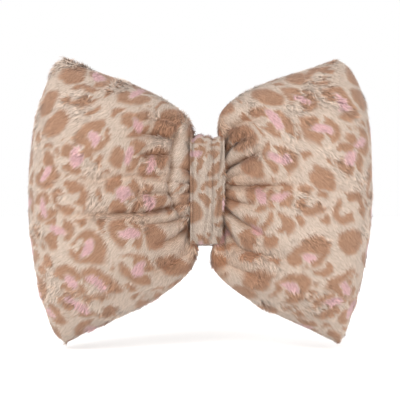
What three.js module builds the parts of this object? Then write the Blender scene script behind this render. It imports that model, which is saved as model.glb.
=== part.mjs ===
// A plush spa headband: a padded band, a stuffed bow tied on at the front by a wrap, and a
// ruched nape with elastic inside, as the band is worn.
//
// Millimetres. The origin is the middle of the head opening. +Z is up, the bow faces -Y,
// and left and right are as seen from in front of the bow, so the left lobe is at -X.

import * as THREE from 'three';

// ---- Driving dimensions ---------------------------------------------------------------

const touchGap = 0.3;            // between pieces that touch

// Head opening, an upright oval through the band, with the elastic relaxed
const openingWidth = 152;
const openingDepth = 160;

// Padded band, which runs round the front and the sides
const bandHeight = 62;
const coverWall = 3;
const waddingThickness = 6;
const liningThickness = 2;
const bandEndAngle = 12;         // degrees behind the widest place
const taperAngle = 45;           // degrees of band over which its height falls to its end height

// Ruched nape: a plush tube with a flat elastic in it
const napeHeight = 44;
const endLip = 1;                // how far the band's end stands above and below the tube
const napeThickness = 10;
const napeWall = 2.6;
const gatherAngle = 22;          // degrees of tube on each side that open out as it stretches
const elasticWidth = 30;
const elasticThickness = 1.6;
const tackHeight = 34;
const tackThickness = 1.2;
const tackWidth = 3;

// Bow
const bowWidth = 250;
const cornerSpan = 200;          // between the left and the right corners
const knotShift = 5;             // how far right of the bow's middle the knot is tied
const topReach = 95;             // height of the upper corners over the knot's middle
const bottomReach = 113;         // depth of the lower corners under it
const lobeRootHeight = 80;       // the lobes' outline where it meets the knot
const frontPuff = 46;            // thickness in front of the edge seam
const backPuff = 28;             // thickness behind it
const panelWall = 2.5;
const stuffingGap = 1;
const lobeFlareSharpness = 0.52; // under 1, the outline opens fast beside the knot
const edgeBulgeSharpness = 2.4;
const swellLead = 6;             // how far inside the flexing line the lobe starts to swell
const fullestShare = 0.36;       // where it is thickest, as a share of the corners' span

// Pinched middle, the thread round it and the wrap over it
const neckDepth = 23;
const neckHeight = 70;
const threadDiameter = 2.2;
const wrapWidth = 24;
const wrapWall = 3.4;
const wrapEase = 1.1;            // room above and below the neck, inside the wrap
const wrapCornerRadius = 6;
const hingeRadius = 11;          // round end of each lobe, about the line that it flexes on
const hingeGap = 0.8;

// Small sewn pieces
const stitchDiameter = 1;
const stitchCount = 9;
const stitchMargin = 2;          // from the wrap's edges to the ends of its hand-sewn seam
const labelWidth = 18;
const labelLength = 26;
const labelThickness = 0.6;

// ---- Places that follow from them -----------------------------------------------------

const openingHalfWidth = openingWidth / 2;
const openingHalfDepth = openingDepth / 2;
const bandEndHeight = napeHeight + 2 * endLip;
const bandThickness = liningThickness + waddingThickness + coverWall + 2 * touchGap;
const waddingStart = liningThickness + touchGap;
const coverStart = waddingStart + waddingThickness + touchGap;

const bandFrontY = -(openingHalfDepth + bandThickness);
const neckY = bandFrontY - touchGap - neckDepth / 2;   // also the plane of the bow's edge seam
const wrapFrontY = neckY - neckDepth / 2 - touchGap - wrapWall;

// The wrap clears the oval neck by its ease, and the band's square corners by its own round ones.
const wrapInnerRadius = wrapCornerRadius - wrapWall;
const wrapInnerHeight = Math.max(neckHeight + 2 * wrapEase, bandHeight + 2 * wrapInnerRadius);
const wrapHeight = wrapInnerHeight + 2 * wrapWall;
const wrapBackY = -openingDepthAt(wrapWidth / 2) + touchGap + wrapWall;

// Share of its size that the neck has at its waist, where the thread lies flush in it
const neckWaist = 1 - 2 * (threadDiameter + touchGap) / neckDepth;

const lobeStart = wrapWidth / 2 + hingeGap;
const hingeX = lobeStart + hingeRadius;

// ---- Materials ------------------------------------------------------------------------

const plush = cloth('plush', 0xd8c2ae, 0.95);
const knotPlush = cloth('knot_plush', 0xc0a18c, 0.95);
const jersey = cloth('jersey', 0xeee3d6, 0.9);
const stuffing = cloth('stuffing', 0xf6f4ef, 1);
const elastic = cloth('elastic', 0xf0ece4, 0.8);
const thread = cloth('thread', 0xd9c3ad, 0.7);
const labelSatin = cloth('label_satin', 0xf7f4ee, 0.45);

function cloth(name, color, roughness) {
  return new THREE.MeshStandardMaterial({ name, color, roughness, metalness: 0 });
}

// ---- The head opening's oval ----------------------------------------------------------

// Depth of the opening's edge in front of or behind the middle, at a place across it.
function openingDepthAt(x) {
  return openingHalfDepth * Math.sqrt(1 - (x / openingHalfWidth) ** 2);
}

// An arc of the opening's edge. Angles are in degrees, turning left from +X, so the bow is
// at -90 and the nape at 90.
class OpeningArc extends THREE.Curve {
  constructor(start, end) {
    super();
    this.start = THREE.MathUtils.degToRad(start);
    this.end = THREE.MathUtils.degToRad(end);
  }

  getPoint(t, target = new THREE.Vector3()) {
    const angle = THREE.MathUtils.lerp(this.start, this.end, t);
    return target.set(
      openingHalfWidth * Math.cos(angle),
      openingHalfDepth * Math.sin(angle),
      0,
    );
  }
}

// A section swept along an arc of the opening. Its points are [outward, up] from the edge.
function sweptBand(outline, start, end, hole = null) {
  const section = new THREE.Shape(sectionPoints(outline));
  if (hole) {
    section.holes.push(new THREE.Path(sectionPoints(hole)));
  }
  const degreesPerStep = 6;
  return new THREE.ExtrudeGeometry(section, {
    steps: Math.ceil((end - start) / degreesPerStep),
    extrudePath: new OpeningArc(start, end),
    bevelEnabled: false,
  });
}

// ExtrudeGeometry's section axes on a level path that turns left are down and inward. That
// mirrors the outline, so its order is reversed.
function sectionPoints(outline) {
  return outline.map(([outward, up]) => new THREE.Vector2(-up, -outward)).reverse();
}

// A rectangle with cut corners, as section points.
function softRectangle(inner, outer, height, cut) {
  const half = height / 2;
  return [
    [inner, -half + cut], [inner + cut, -half], [outer - cut, -half], [outer, -half + cut],
    [outer, half - cut], [outer - cut, half], [inner + cut, half], [inner, half - cut],
  ];
}

// ---- Padded band ----------------------------------------------------------------------

const bandStart = -180 - bandEndAngle;
const bandEnd = bandEndAngle;

// Lowers the band evenly towards its two ends.
function taperBand(geometry) {
  const position = geometry.attributes.position;
  for (let i = 0; i < position.count; i += 1) {
    const turn = Math.atan2(position.getY(i) / openingHalfDepth, position.getX(i) / openingHalfWidth);
    const degrees = THREE.MathUtils.radToDeg(turn);
    const fromFront = Math.abs(degrees > 90 ? degrees - 270 : degrees + 90);
    const taper = THREE.MathUtils.smoothstep(fromFront, 90 + bandEndAngle - taperAngle, 90 + bandEndAngle);
    const share = THREE.MathUtils.lerp(1, bandEndHeight / bandHeight, taper);
    position.setZ(i, position.getZ(i) * share);
  }
  return geometry;
}

// The plush turns in over the padding's upper and lower edges as far as the lining.
function bandCover() {
  const half = bandHeight / 2;
  const lip = half - coverWall;
  const corner = 2;
  const outline = [
    [0, -half], [bandThickness - corner, -half], [bandThickness, -half + corner],
    [bandThickness, half - corner], [bandThickness - corner, half], [0, half],
    [0, lip], [coverStart, lip], [coverStart, -lip], [0, -lip],
  ];
  return taperBand(sweptBand(outline, bandStart, bandEnd));
}

function bandLining() {
  const height = bandHeight - 2 * coverWall - 4 * touchGap;
  return taperBand(sweptBand(softRectangle(0, liningThickness, height, 0.5), bandStart, bandEnd));
}

function bandWadding() {
  const height = bandHeight - 2 * coverWall - 4 * touchGap;
  const outer = waddingStart + waddingThickness;
  return taperBand(sweptBand(softRectangle(waddingStart, outer, height, 1.5), bandStart, bandEnd));
}

// ---- Ruched nape ----------------------------------------------------------------------

// The tube is centred on the band's thickness. Its sides and its back are made apart, since
// the sides open out while the back slides.
const napeInner = (bandThickness - napeThickness) / 2;
const endGapAngle = THREE.MathUtils.radToDeg(touchGap / openingHalfDepth);
const gatherStart = bandEnd + endGapAngle;
const gatherEnd = gatherStart + gatherAngle;

function ruchedTube(start, end) {
  const outline = softRectangle(napeInner, napeInner + napeThickness, napeHeight, 3);
  const hollow = softRectangle(
    napeInner + napeWall,
    napeInner + napeThickness - napeWall,
    napeHeight - 2 * napeWall,
    1,
  );
  return sweptBand(outline, start, end, hollow);
}

function napeElastic() {
  const middle = napeInner + napeThickness / 2;
  const inner = middle - elasticThickness / 2;
  const section = softRectangle(inner, inner + elasticThickness, elasticWidth, 0.3);
  return sweptBand(section, gatherStart, 180 - gatherStart);
}

// A dense bar of stitches on the outside of the band's end, which holds the tube's end in.
function endTack(side) {
  const tack = new THREE.BoxGeometry(tackThickness, tackWidth, tackHeight, 1, 1, 8);
  const angle = THREE.MathUtils.degToRad(bandEndAngle - 3);
  const outward = new THREE.Vector2(
    Math.cos(angle) / openingHalfWidth,
    Math.sin(angle) / openingHalfDepth,
  ).normalize();
  const reach = bandThickness + touchGap + tackThickness / 2;
  tack.rotateZ(outward.angle());
  tack.translate(
    openingHalfWidth * Math.cos(angle) + outward.x * reach,
    openingHalfDepth * Math.sin(angle) + outward.y * reach,
    0,
  );
  return side < 0 ? mirrored(tack) : tack;
}

// ---- Bow lobes ------------------------------------------------------------------------

const lobeSteps = 12;

// A block of cloth or stuffing: a box whose points go where place(along, across, through)
// says, each from 0 to 1.
function shapedBlock(alongSteps, acrossSteps, place) {
  const geometry = new THREE.BoxGeometry(1, 1, 1, alongSteps, 1, acrossSteps);
  const position = geometry.attributes.position;
  for (let i = 0; i < position.count; i += 1) {
    const along = position.getX(i) + 0.5;
    const through = position.getY(i) + 0.5;
    const across = position.getZ(i) + 0.5;
    position.setXYZ(i, ...place(along, across, through));
  }
  return geometry;
}

// The same geometry on the other side of the middle plane, with its faces still outward.
function mirrored(geometry) {
  const copy = geometry.clone();
  copy.scale(-1, 1, 1);
  const index = copy.index.array;
  for (let i = 0; i < index.length; i += 3) {
    [index[i], index[i + 1]] = [index[i + 1], index[i]];
  }
  return copy;
}

// Steps that are close together at both ends, where the lobe rounds over.
function easedStep(share) {
  return (1 - Math.cos(Math.PI * share)) / 2;
}

// Distance of a lobe's corners from the knot's middle.
function cornerReach(side) {
  return cornerSpan / 2 - side * knotShift;
}

// Height of a lobe's upper (+1) or lower (-1) edge at a distance from the knot's middle.
function lobeEdge(distance, side, which, inset) {
  const corner = which > 0 ? topReach : bottomReach;
  const root = lobeRootHeight / 2;
  const rootX = wrapWidth / 3;
  const open = (distance - rootX) / (cornerReach(side) - rootX);
  return which * (root + (corner - root) * open ** lobeFlareSharpness - inset);
}

// How far the front (-1) or the back (+1) of a lobe swells from its seam plane at most.
function fullPuff(face) {
  return face < 0 ? frontPuff : backPuff;
}

// Thickness of the lobe from its seam plane, at a distance out from the knot's middle. The
// front swells at once, and the back more slowly, to clear the band behind it.
function lobePuff(distance, along, face) {
  const behindHinge = Math.max(0, hingeX - distance);
  const roundEnd = Math.sqrt(Math.max(0, hingeRadius ** 2 - behindHinge ** 2));
  const swellStart = hingeX - swellLead;
  const share = (distance - swellStart) / (cornerSpan * fullestShare - swellStart);
  const rise = THREE.MathUtils.clamp(share, 0, 1);
  const swell = face < 0 ? Math.sin(rise * Math.PI / 2) : THREE.MathUtils.smoothstep(rise, 0, 1);
  const outerRounding = Math.sqrt(1 - along ** 7);
  return (roundEnd + (fullPuff(face) - hingeRadius) * swell) * outerRounding;
}

// A point on a lobe's surface, inset from it, on the front (-1) or the back (+1). along runs
// from the knot to the outer edge, and across from the lower edge to the upper. The left
// lobe is drawn on the right, and mirrored after.
function lobePoint(along, across, face, side, inset) {
  const reach = easedStep(along);
  const level = 2 * easedStep(across) - 1;
  const start = lobeStart + inset;
  const corner = cornerReach(side) - inset;
  const bulge = (bowWidth - cornerSpan) / 2 * (1 - Math.abs(level) ** edgeBulgeSharpness);
  const distance = THREE.MathUtils.lerp(start, corner, reach);
  const x = THREE.MathUtils.lerp(start, corner + bulge, reach);
  const top = lobeEdge(distance, side, 1, inset);
  const bottom = lobeEdge(distance, side, -1, inset);
  const rounding = Math.sqrt(1 - Math.abs(level) ** 3);
  const depth = lobePuff(distance, reach, face) * rounding * (1 - inset / fullPuff(face));
  return [x, neckY + face * depth, THREE.MathUtils.lerp(bottom, top, (level + 1) / 2)];
}

// One face of a lobe: the outer side of the cloth, and the inner side a wall behind it.
// The two faces' rims meet at the edge seam.
function lobePanel(face, side) {
  const panel = shapedBlock(lobeSteps, lobeSteps, (along, across, through) => {
    const isOuter = face < 0 ? through < 0.5 : through > 0.5;
    const [x, y, z] = lobePoint(along, across, face, side, isOuter ? 0 : panelWall);
    return [x, y + face * touchGap / 2, z];
  });
  return side < 0 ? mirrored(panel) : panel;
}

// Fibre filling, a little inside both panels, with a blunt edge behind the seam.
function lobeStuffing(side) {
  const inset = panelWall + stuffingGap;
  const bluntEdge = 0.3;
  const filling = shapedBlock(lobeSteps, lobeSteps, (along, across, through) => {
    const face = through < 0.5 ? -1 : 1;
    const [x, y, z] = lobePoint(along, across, face, side, inset);
    const proud = Math.max(bluntEdge, Math.abs(y - neckY));
    return [x, neckY + face * proud, z];
  });
  return side < 0 ? mirrored(filling) : filling;
}

// ---- Pinched middle, thread, wrap and its seam ------------------------------------------

// An oval block across the knot, pulled in to a waist where the thread lies.
function bowNeck() {
  const halfWidth = wrapWidth / 2;
  const waist = threadDiameter;
  const profile = [
    [0, -halfWidth], [0.9, -halfWidth], [1, -halfWidth + 2], [1, -waist * 2],
    [neckWaist, -waist], [neckWaist, waist],
    [1, waist * 2], [1, halfWidth - 2], [0.9, halfWidth], [0, halfWidth],
  ].map(([radius, along]) => new THREE.Vector2(radius, along));
  const neck = new THREE.LatheGeometry(profile, 32);
  neck.rotateZ(-Math.PI / 2);
  neck.scale(1, neckDepth / 2, neckHeight / 2);
  neck.translate(0, neckY, 0);
  return neck;
}

// The gathering thread, wound round the waist: one oval ring.
function gatheringThread() {
  const ring = 1;
  const tube = threadDiameter / 2;
  const torus = new THREE.TorusGeometry(ring, tube / neckHeight, 8, 40);
  const position = torus.attributes.position;
  const lift = touchGap + tube;
  for (let i = 0; i < position.count; i += 1) {
    const angle = Math.atan2(position.getY(i), position.getX(i));
    const outward = (Math.hypot(position.getX(i), position.getY(i)) - ring) * neckHeight;
    const reach = lift + outward;
    position.setXYZ(
      i,
      position.getZ(i) * neckHeight,
      neckY + Math.cos(angle) * (neckWaist * neckDepth / 2 + reach),
      Math.sin(angle) * (neckWaist * neckHeight / 2 + reach),
    );
  }
  return torus;
}

// A rectangle with round corners in the YZ plane, drawn on a path with x as depth.
function drawRoundedLoop(path, front, back, halfHeight, radius) {
  path.moveTo(front + radius, -halfHeight);
  path.lineTo(back - radius, -halfHeight);
  path.absarc(back - radius, -halfHeight + radius, radius, -Math.PI / 2, 0);
  path.lineTo(back, halfHeight - radius);
  path.absarc(back - radius, halfHeight - radius, radius, 0, Math.PI / 2);
  path.lineTo(front + radius, halfHeight);
  path.absarc(front + radius, halfHeight - radius, radius, Math.PI / 2, Math.PI);
  path.lineTo(front, -halfHeight + radius);
  path.absarc(front + radius, -halfHeight + radius, radius, Math.PI, Math.PI * 1.5);
  return path;
}

// The wrap goes round the neck and the band together, and holds the bow on.
function knotWrap() {
  const loop = drawRoundedLoop(
    new THREE.Shape(), wrapFrontY, wrapBackY, wrapHeight / 2, wrapCornerRadius,
  );
  loop.holes.push(drawRoundedLoop(
    new THREE.Path(),
    wrapFrontY + wrapWall,
    wrapBackY - wrapWall,
    wrapInnerHeight / 2,
    wrapInnerRadius,
  ));
  const wrap = new THREE.ExtrudeGeometry(loop, {
    depth: wrapWidth,
    bevelEnabled: false,
    curveSegments: 5,
  });
  wrap.translate(0, 0, -wrapWidth / 2);
  wrap.applyMatrix4(new THREE.Matrix4().makeBasis(
    new THREE.Vector3(0, 1, 0),
    new THREE.Vector3(0, 0, 1),
    new THREE.Vector3(1, 0, 0),
  ));
  return wrap;
}

// The hand stitches that close the wrap where its two ends meet, a zigzag across its
// underside.
function wrapStitches() {
  const swing = 2;
  const seamEnd = wrapWidth / 2 - stitchMargin;
  const points = [];
  for (let i = 0; i <= stitchCount; i += 1) {
    points.push(new THREE.Vector3(
      THREE.MathUtils.lerp(-seamEnd, seamEnd, i / stitchCount),
      neckY + (i % 2 ? swing : -swing),
      -wrapHeight / 2 - touchGap - stitchDiameter / 2,
    ));
  }
  const path = new THREE.CatmullRomCurve3(points, false, 'catmullrom', 0.3);
  const section = new THREE.Shape();
  section.absarc(0, 0, stitchDiameter / 2, 0, Math.PI * 2);
  return new THREE.ExtrudeGeometry(section, {
    steps: stitchCount * 4,
    curveSegments: 4,
    extrudePath: path,
    bevelEnabled: false,
  });
}

// A plain folded label on the lining, beside the band's left end.
function careLabel() {
  const label = new THREE.BoxGeometry(labelThickness, labelLength, labelWidth, 1, 4, 1);
  const position = label.attributes.position;
  for (let i = 0; i < position.count; i += 1) {
    const y = position.getY(i);
    const acrossAtY = openingHalfWidth * Math.sqrt(1 - (y / openingHalfDepth) ** 2);
    const clear = touchGap + labelThickness / 2;
    position.setX(i, -acrossAtY + clear + position.getX(i));
  }
  return label;
}

// ---- Assembly -------------------------------------------------------------------------

const headband = new THREE.Group();

function add(name, geometry, material) {
  const mesh = new THREE.Mesh(geometry, material);
  mesh.name = name;
  headband.add(mesh);
}

add('band_cover', bandCover(), plush);
add('band_wadding', bandWadding(), stuffing);
add('band_lining', bandLining(), jersey);
add('care_label', careLabel(), labelSatin);

add('bow_neck', bowNeck(), plush);
add('gathering_thread', gatheringThread(), thread);
add('knot_wrap', knotWrap(), knotPlush);
add('wrap_stitches', wrapStitches(), thread);

add('nape_tube', ruchedTube(gatherEnd + endGapAngle, 180 - gatherEnd - endGapAngle), plush);
add('nape_elastic', napeElastic(), elastic);

for (const [name, side] of [['left', -1], ['right', 1]]) {
  const [start, end] = side > 0 ? [gatherStart, gatherEnd] : [180 - gatherEnd, 180 - gatherStart];
  add(`${name}_gathers`, ruchedTube(start, end), plush);
  add(`${name}_end_tack`, endTack(side), thread);
  add(`${name}_front_panel`, lobePanel(-1, side), plush);
  add(`${name}_back_panel`, lobePanel(1, side), plush);
  add(`${name}_stuffing`, lobeStuffing(side), stuffing);
}

export default headband;
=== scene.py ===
"""Looks for a plush spa headband: printed plush with real pile over the stuffed bow, the wrap,
the padded band and its ruched nape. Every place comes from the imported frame."""

import math

import bpy
import numpy as np
from bpy.props import FloatProperty, FloatVectorProperty, IntProperty, PointerProperty
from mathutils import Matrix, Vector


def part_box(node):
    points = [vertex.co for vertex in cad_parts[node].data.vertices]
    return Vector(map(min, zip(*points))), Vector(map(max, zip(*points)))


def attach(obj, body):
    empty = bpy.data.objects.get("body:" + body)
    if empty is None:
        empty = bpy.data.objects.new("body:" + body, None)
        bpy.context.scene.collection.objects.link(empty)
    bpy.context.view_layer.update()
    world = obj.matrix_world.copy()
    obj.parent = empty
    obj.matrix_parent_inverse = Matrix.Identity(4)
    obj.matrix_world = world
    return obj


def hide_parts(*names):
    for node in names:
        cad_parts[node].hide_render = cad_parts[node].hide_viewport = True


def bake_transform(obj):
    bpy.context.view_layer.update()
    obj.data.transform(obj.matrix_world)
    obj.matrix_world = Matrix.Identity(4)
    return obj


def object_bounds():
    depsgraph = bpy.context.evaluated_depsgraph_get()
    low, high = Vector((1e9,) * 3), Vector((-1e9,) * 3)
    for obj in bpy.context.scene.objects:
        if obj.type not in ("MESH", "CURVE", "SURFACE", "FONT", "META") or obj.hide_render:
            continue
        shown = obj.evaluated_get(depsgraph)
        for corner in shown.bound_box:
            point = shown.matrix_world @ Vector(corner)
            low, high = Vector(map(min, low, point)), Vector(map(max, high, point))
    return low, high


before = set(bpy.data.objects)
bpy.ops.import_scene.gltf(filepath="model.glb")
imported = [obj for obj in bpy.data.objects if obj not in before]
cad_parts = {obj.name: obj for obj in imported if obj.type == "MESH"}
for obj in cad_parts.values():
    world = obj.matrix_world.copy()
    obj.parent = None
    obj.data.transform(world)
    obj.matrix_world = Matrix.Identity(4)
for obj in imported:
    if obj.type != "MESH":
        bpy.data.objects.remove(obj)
cad_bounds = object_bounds()

bl_info = {
    "name": "Plush Bow Headband",
    "version": (1, 0, 0),
    "blender": (4, 5, 0),
    "location": "View3D > Sidebar > Headband",
    "description": "Builds the plush, pile and stitching of a spa headband with a stuffed bow",
    "category": "Object",
}

MM = 0.001
PARTED_SCALE = 34.0                    # patches of ruffled pile to a metre of cloth
PARTED_RANGE = (0.50, 0.62)            # the noise values at which ruffling starts and is full
CREASE_SHADE_TINT = (0.90, 0.71, 0.58, 1)    # painted shade: multiplies the plush's colour, browner and darker, in its deepest creases
BACK_PRINT = (0.37, 0.21, 0)           # metres from the front's part of the print to the back's

shared = {}              # finishes and patterns that more than one step uses, by name


# ---- Sizes and colours -------------------------------------------------------------------

class PrintSettings(bpy.types.PropertyGroup):
    cream: FloatVectorProperty(
        name="Ground", description="Colour of the plush between the spots",
        default=(0.60, 0.483, 0.396), subtype="COLOR", min=0, max=1)
    tan: FloatVectorProperty(
        name="Spots", description="Colour of the rings and solid spots",
        default=(0.415, 0.236, 0.148), subtype="COLOR", min=0, max=1)
    pink: FloatVectorProperty(
        name="Centres", description="Colour inside the rings",
        default=(0.64, 0.40, 0.40), subtype="COLOR", min=0, max=1)
    spacing: FloatProperty(
        name="Spacing", description="Distance between neighbouring rings",
        default=0.026, unit="LENGTH", min=0.005, max=0.1)


class PileSettings(bpy.types.PropertyGroup):
    length: FloatProperty(
        name="Length", description="Length of the pile on the bow",
        default=0.0034, unit="LENGTH", min=0.001, max=0.02)
    width: FloatProperty(
        name="Width", description="Width of one lock of pile at its root",
        default=0.0004, unit="LENGTH", min=0.0001, max=0.002)
    density: FloatProperty(
        name="Density", description="Locks of pile to a square metre",
        default=2_000_000, min=1000, max=5_000_000)
    lean: FloatProperty(
        name="Lean", description="Angle from upright at which the pile lies",
        default=math.radians(68), subtype="ANGLE", min=0, max=1.5)


class BowSettings(bpy.types.PropertyGroup):
    neck_depth: FloatProperty(
        name="Neck depth", description="Half thickness of the bow where it enters the wrap",
        default=0.0105, unit="LENGTH", min=0.001, max=0.05)
    edge_bulge: FloatProperty(
        name="Edge bulge", description="How far the outer edge stands past the corners",
        default=0.0225, unit="LENGTH", min=0, max=0.1)
    fold_depth: FloatProperty(
        name="Fold depth", description="Depth of the gathers where they enter the wrap",
        default=0.0075, unit="LENGTH", min=0, max=0.02)
    pressure: FloatProperty(
        name="Pressure", description="Pressure of the filling",
        default=3.0, min=0, max=50)
    most_swell: FloatProperty(
        name="Most swell", description="The furthest that the filling moves the cloth",
        default=0.004, unit="LENGTH", min=0, max=0.03)
    ruffles: IntProperty(
        name="Small gathers", description="Small gathers across each side of the neck",
        default=9, min=1, max=40)


class KnotSettings(bpy.types.PropertyGroup):
    wall: FloatProperty(
        name="Wall", description="Thickness of the wrap's cloth",
        default=0.0032, unit="LENGTH", min=0.001, max=0.01)
    puff: FloatProperty(
        name="Puff", description="How far the wrap's folds stand out",
        default=0.0044, unit="LENGTH", min=0, max=0.01)
    fold_place: FloatProperty(
        name="Fold", description="Where the long fold lies, from -1 at the left to 1 at the right",
        default=0.38, min=-1, max=1)


class BandSettings(bpy.types.PropertyGroup):
    thickness: FloatProperty(
        name="Thickness", description="Thickness of the padded band with its lining",
        default=0.0116, unit="LENGTH", min=0.001, max=0.05)
    end_angle: FloatProperty(
        name="Band end", description="How far behind the widest place the band ends",
        default=math.radians(12), subtype="ANGLE", min=0, max=1)
    ruche: FloatProperty(
        name="Ruche", description="Distance between the folds of the nape's tube",
        default=0.0062, unit="LENGTH", min=0.002, max=0.03)


# ---- Mesh helpers ------------------------------------------------------------------------

def new_object(name, points, faces):
    """A mesh object in the scene, from its points and faces."""
    mesh = bpy.data.meshes.new(name)
    mesh.from_pydata(points.tolist(), [], faces)
    mesh.update()
    piece = bpy.data.objects.new(name, mesh)
    bpy.context.scene.collection.objects.link(piece)
    return piece


def only(piece):
    """Selects one object and makes it active."""
    bpy.ops.object.select_all(action="DESELECT")
    piece.select_set(True)
    bpy.context.view_layer.objects.active = piece


def tidy_mesh(piece, merge=0.01 * MM, closed=True):
    """Merges doubled points, turns a closed form's faces outward and shades them smooth."""
    only(piece)
    bpy.ops.object.mode_set(mode="EDIT")
    bpy.ops.mesh.select_all(action="SELECT")
    bpy.ops.mesh.remove_doubles(threshold=merge)
    if closed:
        bpy.ops.mesh.normals_make_consistent(inside=False)
    bpy.ops.object.mode_set(mode="OBJECT")
    bpy.ops.object.shade_smooth()


def end_faces(rows, columns):
    """The two faces that close a tube of rows of points."""
    return [tuple(range(columns)), tuple(range((rows - 1) * columns, rows * columns))]


def grid_faces(rows, columns, rows_close, columns_close):
    """Quads over a grid of points, which may close on itself either way."""
    faces = []
    for r in range(rows if rows_close else rows - 1):
        for c in range(columns if columns_close else columns - 1):
            below, beside = (r + 1) % rows, (c + 1) % columns
            faces.append((r * columns + c, r * columns + beside,
                          below * columns + beside, below * columns + c))
    return faces


def set_values(piece, name, values):
    """Stores one number for each point of a mesh."""
    attribute = piece.data.attributes.new(name, "FLOAT", "POINT")
    attribute.data.foreach_set("value", np.asarray(values, np.float32).ravel())


def set_vectors(piece, name, vectors):
    """Stores one vector for each point of a mesh."""
    attribute = piece.data.attributes.get(name)
    attribute = attribute or piece.data.attributes.new(name, "FLOAT_VECTOR", "POINT")
    attribute.data.foreach_set("vector", np.asarray(vectors, np.float32).ravel())


def get_values(piece, name):
    """One number for each point, as stored under a name."""
    attribute = piece.data.attributes[name]
    values = np.empty(len(attribute.data), np.float32)
    attribute.data.foreach_get("value", values)
    return values.astype(float)


def get_vectors(piece, name):
    """One vector for each point, as stored under a name."""
    attribute = piece.data.attributes[name]
    vectors = np.empty(len(attribute.data) * 3, np.float32)
    attribute.data.foreach_get("vector", vectors)
    return vectors.reshape(-1, 3).astype(float)


def get_points(piece):
    """Where each point of a mesh is."""
    points = np.empty(len(piece.data.vertices) * 3, np.float32)
    piece.data.vertices.foreach_get("co", points)
    return points.reshape(-1, 3).astype(float)


def set_points(piece, points):
    """Moves the points of a mesh."""
    piece.data.vertices.foreach_set("co", np.asarray(points, np.float32).ravel())
    piece.data.update()


def get_normals(piece):
    """Which way the surface faces at each point of a mesh."""
    normals = np.empty(len(piece.data.vertices) * 3, np.float32)
    piece.data.vertices.foreach_get("normal", normals)
    return normals.reshape(-1, 3).astype(float)


def smooth_step(low, high, value):
    """0 below the low value, 1 above the high one, and an even curve between them."""
    share = np.clip((value - low) / (high - low), 0, 1)
    return share * share * (3 - 2 * share)


def flattened(wave, power):
    """A sine or cosine with broader tops, for a section squarer than an ellipse."""
    return np.sign(wave) * np.abs(wave) ** power


def once_round(count):
    """Angles once round a section, as one row."""
    return np.linspace(0, 2 * math.pi, count, endpoint=False)[None, :]


def smoothed(piece, levels):
    """Rounds a mesh by subdividing it."""
    modifier = piece.modifiers.new("Smooth", "SUBSURF")
    modifier.levels = modifier.render_levels = levels
    apply_all(piece)


def apply_all(piece):
    """Applies every modifier of a piece."""
    only(piece)
    for modifier in list(piece.modifiers):
        bpy.ops.object.modifier_apply(modifier=modifier.name)


# ---- Shader groups -----------------------------------------------------------------------

class Nodes:
    """Adds nodes to a tree and joins them, in few words."""

    def __init__(self, tree):
        self.tree = tree

    def add(self, kind, inputs=None, **settings):
        """A node, with its settings, and its inputs joined or given a value."""
        node = self.tree.nodes.new(kind)
        for name, value in settings.items():
            setattr(node, name, value)
        for name, value in (inputs or {}).items():
            if isinstance(value, bpy.types.NodeSocket):
                self.tree.links.new(value, node.inputs[name])
            else:
                node.inputs[name].default_value = value
        return node

    def math(self, operation, first, second=0.0, third=0.0):
        """The result of one sum on numbers."""
        node = self.add("ShaderNodeMath", {0: first, 1: second, 2: third}, operation=operation)
        return node.outputs[0]

    def vector(self, operation, first, second=(0, 0, 0)):
        """The result of one sum on vectors."""
        node = self.add("ShaderNodeVectorMath", {0: first, 1: second}, operation=operation)
        return node.outputs["Value" if operation == "LENGTH" else "Vector"]

    def ramp(self, value, low, high, low_out=0.0, high_out=1.0):
        """A smooth change from one result to another between two values."""
        node = self.add("ShaderNodeMapRange", {
            "Value": value, "From Min": low, "From Max": high,
            "To Min": low_out, "To Max": high_out}, interpolation_type="SMOOTHSTEP")
        return node.outputs["Result"]

    def mix(self, factor, first, second, blend="MIX"):
        """Two colours mixed."""
        node = self.tree.nodes.new("ShaderNodeMix")
        node.data_type = "RGBA"
        node.blend_type = blend
        for socket, value in zip((node.inputs[0], node.inputs[6], node.inputs[7]),
                                 (factor, first, second)):
            if isinstance(value, bpy.types.NodeSocket):
                self.tree.links.new(value, socket)
            else:
                socket.default_value = value
        return node.outputs[2]

    def noise(self, vector, scale, detail=2.0, dimensions="3D"):
        """A node of even noise."""
        inputs = {"Vector": vector, "Scale": scale, "Detail": detail}
        return self.add("ShaderNodeTexNoise", inputs, noise_dimensions=dimensions)


def scaled(n, vector, factor):
    """A vector or a colour times a factor, which may change over the surface."""
    return n.add("ShaderNodeVectorMath", {0: vector, "Scale": factor},
                 operation="SCALE").outputs["Vector"]


def new_group(name, inputs, outputs):
    """An empty shader group with the sockets named, and its helpers."""
    tree = bpy.data.node_groups.new(name, "ShaderNodeTree")
    for label, kind, default in inputs:
        socket = tree.interface.new_socket(label, in_out="INPUT", socket_type=kind)
        if default is not None:
            socket.default_value = default
    for label, kind in outputs:
        tree.interface.new_socket(label, in_out="OUTPUT", socket_type=kind)
    nodes = Nodes(tree)
    return tree, nodes, nodes.add("NodeGroupInput"), nodes.add("NodeGroupOutput")


def ring_gaps(n, turned, chance, wobble):
    """1 where a ring is open, in one to three places, and 0 along the rest of it."""
    aim = n.add("ShaderNodeSeparateXYZ", {"Vector": turned})
    angle = n.math("ARCTAN2", aim.outputs["Y"], aim.outputs["X"])
    breaks = n.math("ADD", 1.0, n.math("GREATER_THAN", chance, 0.35))
    breaks = n.math("ADD", breaks, n.math("GREATER_THAN", chance, 0.8))
    bend = n.math("COSINE", n.math("ADD", n.math("MULTIPLY", angle, breaks),
                                   n.math("MULTIPLY", wobble, 2.6)))
    narrow = n.math("SUBTRACT", 1.0, n.math("MULTIPLY", breaks, 0.13))
    return n.ramp(bend, narrow, n.math("ADD", narrow, 0.12))


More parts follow.
